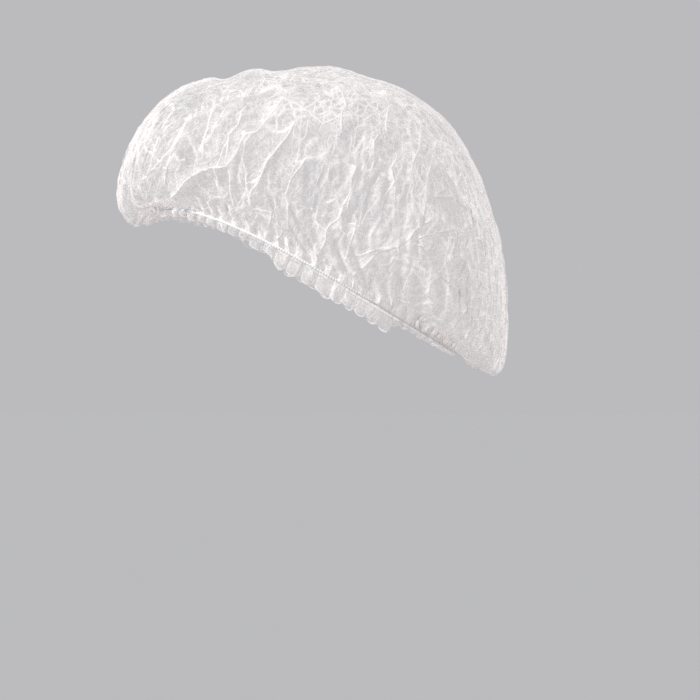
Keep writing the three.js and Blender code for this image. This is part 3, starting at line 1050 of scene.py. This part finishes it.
    def crease_cloth(self, mesh: bpy.types.Mesh) -> None:
        """Presses the sharp folds, the crumples and the gathers into the cloth.

        Args:
            mesh: The crown's fine mesh.
        """
        flat = read_attribute(mesh, "flat")
        form = read_attribute(mesh, "form")
        angle = np.mod(np.arctan2(-flat[:, 1], -flat[:, 0]), TURN)
        radius = np.hypot(flat[:, 0], flat[:, 1]) / (self.disc_width / 2)
        _, _, _, run = self.lengths()
        height = (1 - radius) * np.interp(angle, np.linspace(0, TURN, len(run)), run[:, -1])
        free = smooth(2 * MM, 12 * MM, height)
        ridge, line, band = self.fold_field(form, self.ridge_width)
        gap, strength = self.crumple_field(form)
        facet = np.clip(gap / (0.3 * self.crumple_pitch), 0, 1)
        phase, gather = self.gather_field(angle, height)
        points = read_points(mesh)
        pull = neighbour_mean(mesh, points) - points
        normals = np.empty(len(points) * 3)
        mesh.vertices.foreach_get("normal", normals)
        normals = normals.reshape(-1, 3)
        bend = (pull * normals).sum(1, keepdims=True)
        bend = ((bend + neighbour_mean(mesh, bend)) / 2)[:, 0]
        lift = free * self.ridge_height * np.maximum(ridge, 0)
        lift += free * self.crumple_depth * (0.35 + 0.65 * strength) * (1 - facet)
        lift += self.gather_depth * gather * np.cos(phase) - free * self.settle
        write_points(mesh, points - pull * self.sharpen + normals * lift[:, None])
        crumple = strength * np.exp(-((gap / (0.55 * MM)) ** 2)) * free
        pinch = 0.4 * smooth(0.1 * MM, 0.4 * MM, abs(bend))
        bars = 0.22 * gather * (1 + np.cos(phase))
        bunched = 0.85 * np.exp(-((height / self.bunch_reach) ** 2))
        crease = np.maximum.reduce([0.45 * band, 0.6 * crumple, bars, bunched, pinch])
        write_attribute(mesh, "crease", "FLOAT", crease)
        write_attribute(mesh, "fold", "FLOAT_VECTOR", np.column_stack([line, band]))
        waves = np.column_stack([np.cos(phase), np.sin(phase), gather])
        write_attribute(mesh, "gather", "FLOAT_VECTOR", waves)

    def build(self) -> bpy.types.Object:
        """Makes the crown's cloth.

        Returns:
            The finished piece.
        """
        piece = grid_piece(
            "crown_cloth",
            2 * self.rings,
            2 * self.rings,
            lambda first, second: np.stack([*self.disc_place(first, second), first * 0], 1),
        )
        angle, radius, _ = read_points(piece.data).T
        rise, meridian = self.spread(angle, radius)
        worn = self.worn_shape(angle, rise)
        mesh = piece.data
        flat_radius = radius * self.disc_width / 2
        flat = np.stack([-np.cos(angle) * flat_radius, -np.sin(angle) * flat_radius, radius * 0], 1)
        write_attribute(mesh, "flat", "FLOAT_VECTOR", flat)
        write_attribute(mesh, "form", "FLOAT_VECTOR", self.form.point(angle, rise))
        write_points(mesh, self.loose_shape(angle, radius, meridian))
        self.simulate(piece, radius, worn)
        finer = piece.modifiers.new("finer", "SUBSURF")
        finer.levels = finer.render_levels = 1
        bake_modifiers(piece)
        self.crease_cloth(piece.data)
        piece.data.shade_smooth()
        return piece

    def dress(self, piece: bpy.types.Object, cloth: bpy.types.Material) -> None:
        """Gives the crown its cloth and its place in the frame.

        Args:
            piece: The crown's cloth.
            cloth: The nonwoven.
        """
        take_place(piece, cloth, "crown")


@dataclass(frozen=True)
class FrillStation:
    """How the frill hangs at an angle: its drop as a share, and how far it tucks under."""

    angle: float
    drop: float
    tuck: float


FRILL_STATIONS = (
    FrillStation(0, 0.66, -0.35),
    FrillStation(16, 0.5, -0.1),
    FrillStation(28, 0.38, 0.2),
    FrillStation(55, 0.42, 0.2),
    FrillStation(74, 0.5, 0.1),
    FrillStation(84, 1, 0),
    FrillStation(122, 1, 0),
    FrillStation(131, 0.24, 0.3),
    FrillStation(180, 0.24, 0.35),
)


@dataclass(frozen=True)
class LobeStation:
    """The frill's section over one lobe: shares of the cloth, of the lobe's width and of its depth."""

    cloth: float
    across: float
    depth: float


LOBE_STATIONS = (
    LobeStation(0, 0, -1),
    LobeStation(0.06, 0.035, -0.95),
    LobeStation(0.12, 0.052, -0.6),
    LobeStation(0.17, 0.06, 0),
    LobeStation(0.23, 0.08, 0.6),
    LobeStation(0.31, 0.16, 0.88),
    LobeStation(0.5, 0.5, 1),
    LobeStation(0.69, 0.84, 0.88),
    LobeStation(0.77, 0.92, 0.6),
    LobeStation(0.83, 0.94, 0),
    LobeStation(0.88, 0.948, -0.6),
    LobeStation(0.94, 0.965, -0.95),
    LobeStation(1, 1, -1),
)


@dataclass
class Frill:
    """The frill below the elastic: rounded lobes with narrow slits between them."""

    form: WornForm = field(default_factory=WornForm)
    lobes: int = 76
    drop: float = 10.5 * MM
    depth: float = 2.3 * MM
    top: float = 0.5 * MM
    columns: int = 20
    rows: int = 10
    rounding: float = 0.36
    flap_angle: float = 124
    flap_width: float = 2.4
    flap_drop: float = 1.0 * MM
    flap_lean: float = 4 * MM
    seed: int = 11

    def flat_area(self, strip: float) -> float:
        """Adds up the frill's flat cloth from its drop at each angle.

        Args:
            strip: The length of the disc's edge in metres.

        Returns:
            The area in square metres.
        """
        degrees = np.linspace(0, 180, 361)
        rows = np.array([list(vars(row).values()) for row in FRILL_STATIONS])
        drops = np.interp(degrees, rows[:, 0], rows[:, 1])
        return float(strip * self.drop * drops.mean())

    def lobe_table(self) -> dict[str, Array]:
        """Draws each lobe's own width, drop, lean and depth.

        Returns:
            Lobe edges as shares of the turn, and the other values for each lobe.
        """
        draw = np.random.default_rng(self.seed)
        widths = 1 + 0.16 * draw.uniform(-1, 1, self.lobes)
        edges = np.concatenate([[0], np.cumsum(widths)]) / widths.sum()
        return {
            "edges": edges,
            "drop": 0.08 * draw.uniform(-1, 1, self.lobes),
            "rag": 0.3 * draw.uniform(-1, 1, self.lobes),
            "lean": 0.5 * MM * draw.uniform(-1, 1, self.lobes),
            "depth": 1 + 0.25 * draw.uniform(-1, 1, self.lobes),
        }

    def place(self, first: Array, second: Array) -> Array:
        """Places the frill's points.

        Args:
            first: Shares round the opening.
            second: Shares from the elastic to the lower edge.

        Returns:
            Points in metres.
        """
        table = self.lobe_table()
        along = first * self.lobes
        index = np.minimum(np.floor(along + 1e-6).astype(int), self.lobes - 1)
        cloth = np.clip(along - index, 0, 1)
        section = np.array([list(vars(row).values()) for row in LOBE_STATIONS])
        across = np.interp(cloth, section[:, 0], section[:, 1])
        wave = np.interp(cloth, section[:, 0], section[:, 2])
        start, end = table["edges"][index], table["edges"][index + 1]
        angle = TURN * (start + (end - start) * across)
        degrees = np.degrees(np.minimum(angle, TURN - angle))
        rows = np.array([list(vars(row).values()) for row in FRILL_STATIONS])
        hang = np.interp(degrees, rows[:, 0], rows[:, 1])
        tuck = np.interp(degrees, rows[:, 0], rows[:, 2])
        own = 1 + np.where(hang > 0.8, table["drop"][index], table["rag"][index]) * np.sin(math.pi * cloth)
        side = np.clip(abs(2 * across - 1), 0, 1)
        tip = 1 - self.rounding * (1 - np.sqrt(1 - np.minimum(side, 0.98) ** 2)) * (0.5 + 0.5 * hang)
        up = self.top - (self.drop * hang * own + self.top) * second * tip
        deep = self.depth * table["depth"][index] * (0.1 + 0.9 * smooth(0, 0.4, second))
        out = deep * wave - tuck * self.drop * second - 0.5 * deep * smooth(0.7, 1.0, second)
        lean = table["lean"][index] * second * np.sin(math.pi * cloth) / self.form.side_reach
        flap = np.exp(-(((degrees - self.flap_angle) / self.flap_width) ** 2)) * second
        up = up - self.flap_drop * flap
        backward = np.where(angle < math.pi, 1, -1)
        lean = lean + backward * self.flap_lean * flap / self.form.side_reach
        return self.form.beside_hem(angle + lean, up, out)

    def build(self) -> bpy.types.Object:
        """Makes the frill.

        Returns:
            The finished piece.
        """
        piece = grid_piece("frill_cloth", self.lobes * self.columns, self.rows, self.place)
        mesh = piece.data
        points = read_points(mesh)
        height = points @ self.form.hem_up
        turn = np.arctan2(points[:, 1], -points[:, 0])
        depth = np.hypot(points[:, 0], points[:, 1])
        flat = np.stack([turn * 0.13 + depth, height, turn * 0], 1)
        write_attribute(mesh, "flat", "FLOAT_VECTOR", flat)
        write_attribute(mesh, "form", "FLOAT_VECTOR", points)
        rim = np.zeros(len(points))
        shape = bmesh.new()
        shape.from_mesh(mesh)
        for edge in shape.edges:
            if edge.is_boundary:
                for vertex in edge.verts:
                    rim[vertex.index] = 0.8
        shape.free()
        write_attribute(mesh, "crease", "FLOAT", rim)
        mesh.shade_smooth()
        return piece

    def dress(self, piece: bpy.types.Object, cloth: bpy.types.Material) -> None:
        """Gives the frill its cloth and its place in the frame.

        Args:
            piece: The frill.
            cloth: The nonwoven.
        """
        take_place(piece, cloth, "hem_frill")


@dataclass
class Elastic:
    """The narrow ribbed elastic that gathers the disc."""

    form: WornForm = field(default_factory=WornForm)
    width: float = 1.5 * MM
    thickness: float = 1.1 * MM
    rib_pitch: float = 1.5 * MM
    rib_height: float = 0.15 * MM
    stand_off: float = 1.1 * MM
    tucked_from: float = 114
    tucked_to: float = 126
    tuck: float = 2.3 * MM
    points_per_rib: int = 4
    section_points: int = 10

    def place(self, first: Array, second: Array) -> Array:
        """Places the elastic's points.

        Args:
            first: Shares round the opening.
            second: Shares round the elastic's own section.

        Returns:
            Points in metres.
        """
        ribs = round(self.form.hem_length() / self.rib_pitch)
        bulge = self.rib_height * np.cos(TURN * ribs * first)
        turn = -TURN * second
        up = (self.width / 2 + bulge) * np.sin(turn)
        out = (self.thickness / 2 + bulge) * np.cos(turn) - self.thickness / 2
        degrees = 360 * np.minimum(first, 1 - first)
        stand = self.stand_off - self.tuck * smooth(self.tucked_from, self.tucked_to, degrees)
        return self.form.beside_hem(TURN * first, up, out + stand)

    def build(self) -> bpy.types.Object:
        """Makes the elastic.

        Returns:
            The finished piece.
        """
        ribs = round(self.form.hem_length() / self.rib_pitch)
        piece = grid_piece("elastic_thread", ribs * self.points_per_rib, self.section_points, self.place)
        piece.data.shade_smooth()
        return piece

    def dress(self, piece: bpy.types.Object, finish: bpy.types.Material) -> None:
        """Gives the elastic its finish and its place in the frame.

        Args:
            piece: The elastic.
            finish: The covered elastic.
        """
        take_place(piece, finish, "elastic_band")


@dataclass(frozen=True)
class Sun:
    """A soft distant light: where it comes from, its width in degrees and its strength."""

    name: str
    place: tuple[float, float, float]
    spread: float
    power: float


SUNS = (
    Sun("key", (-1.0, -0.7, 0.85), 9, 3.5),
    Sun("rim", (0.9, 0.7, 0.7), 30, 1.7),
    Sun("fill", (0.8, -1.0, 0.25), 30, 0.6),
)


@dataclass
class Studio:
    """A plain pale floor, soft lights and the camera."""

    floor_drop: float = 0.3
    floor_width: float = 30.0
    frame_width: float = 0.413
    aim: tuple[float, float, float] = (26.8 * MM, 0.0, -38.1 * MM)
    distance: float = 2.5
    sensor: float = 36.0
    world_light: float = 0.55
    world_seen: str = "BBBBBE"

    def floor(self) -> bpy.types.Object:
        """Makes the floor.

        Returns:
            The floor.
        """
        shape = bmesh.new()
        bmesh.ops.create_grid(shape, x_segments=1, y_segments=1, size=self.floor_width / 2)
        bmesh.ops.translate(shape, verts=shape.verts, vec=(0, 0, -self.floor_drop))
        mesh = bpy.data.meshes.new("studio_floor")
        shape.to_mesh(mesh)
        shape.free()
        mesh.materials.append(StudioPaper().build())
        floor = bpy.data.objects.new("studio_floor", mesh)
        bpy.context.scene.collection.objects.link(floor)
        return floor

    def shine(self, sun: Sun) -> None:
        """Adds a soft distant light aimed at the cap, even over the whole floor.

        Args:
            sun: The light's values.
        """
        light = bpy.data.lights.new(sun.name, "SUN")
        light.angle = math.radians(sun.spread)
        light.energy = sun.power
        lamp = bpy.data.objects.new(sun.name, light)
        lamp.location = sun.place
        lamp.rotation_euler = Vector(sun.place).to_track_quat("Z", "Y").to_euler()
        bpy.context.scene.collection.objects.link(lamp)

    def world(self) -> None:
        """Lights the room evenly and shows a plain pale ground behind the cap."""
        world = bpy.data.worlds.new("studio")
        world.use_nodes = True
        tree = world.node_tree
        tree.nodes.clear()
        seen = add_node(tree, "Background", {"Color": linear(self.world_seen), "Strength": 1.0})
        soft = add_node(tree, "Background", {"Color": linear("FFFFFF"), "Strength": self.world_light})
        path = add_node(tree, "LightPath", {})
        mixed = add_node(
            tree, "MixShader", {0: path.outputs["Is Camera Ray"], 1: soft.outputs[0], 2: seen.outputs[0]}
        )
        add_node(tree, "OutputWorld", {"Surface": mixed.outputs[0]})
        bpy.context.scene.world = world

    def camera(self) -> None:
        """Stands the camera level with the cap, square to its near side."""
        data = bpy.data.cameras.new("camera")
        data.sensor_width = self.sensor
        data.lens = self.sensor * self.distance / self.frame_width
        data.clip_end = 100
        camera = bpy.data.objects.new("camera", data)
        camera.location = (self.aim[0], -self.distance, self.aim[2])
        camera.rotation_euler = (math.pi / 2, 0, 0)
        bpy.context.scene.collection.objects.link(camera)
        bpy.context.scene.camera = camera

    def build(self) -> None:
        """Sets up the whole studio."""
        self.camera()
        self.floor()
        self.world()
        for sun in SUNS:
            self.shine(sun)
        bpy.context.scene.view_settings.view_transform = "Standard"


def main() -> None:
    """Builds the studio and the cap, and reports each piece."""
    logging.basicConfig(level=logging.INFO, format="%(message)s")
    Studio().build()
    cloth = Nonwoven().build()
    form = WornForm()
    crown, frill, elastic = Crown(form), Frill(form), Elastic(form)
    crown_cloth = crown.build()
    crown.dress(crown_cloth, cloth)
    LOG.info("crown: %d faces, %.4f m2", len(crown_cloth.data.polygons), cloth_area(crown_cloth))
    frill_cloth = frill.build()
    frill.dress(frill_cloth, Nonwoven(name="frill_nonwoven", cover=0.2).build())
    LOG.info("frill: %d faces, %.5f m2", len(frill_cloth.data.polygons), cloth_area(frill_cloth))
    thread = elastic.build()
    elastic.dress(thread, CoveredElastic().build())
    LOG.info("elastic: %d faces", len(thread.data.polygons))
    strip = math.pi * crown.disc_width
    frill.flat_area(strip)


if __name__ == "__main__":
    main()
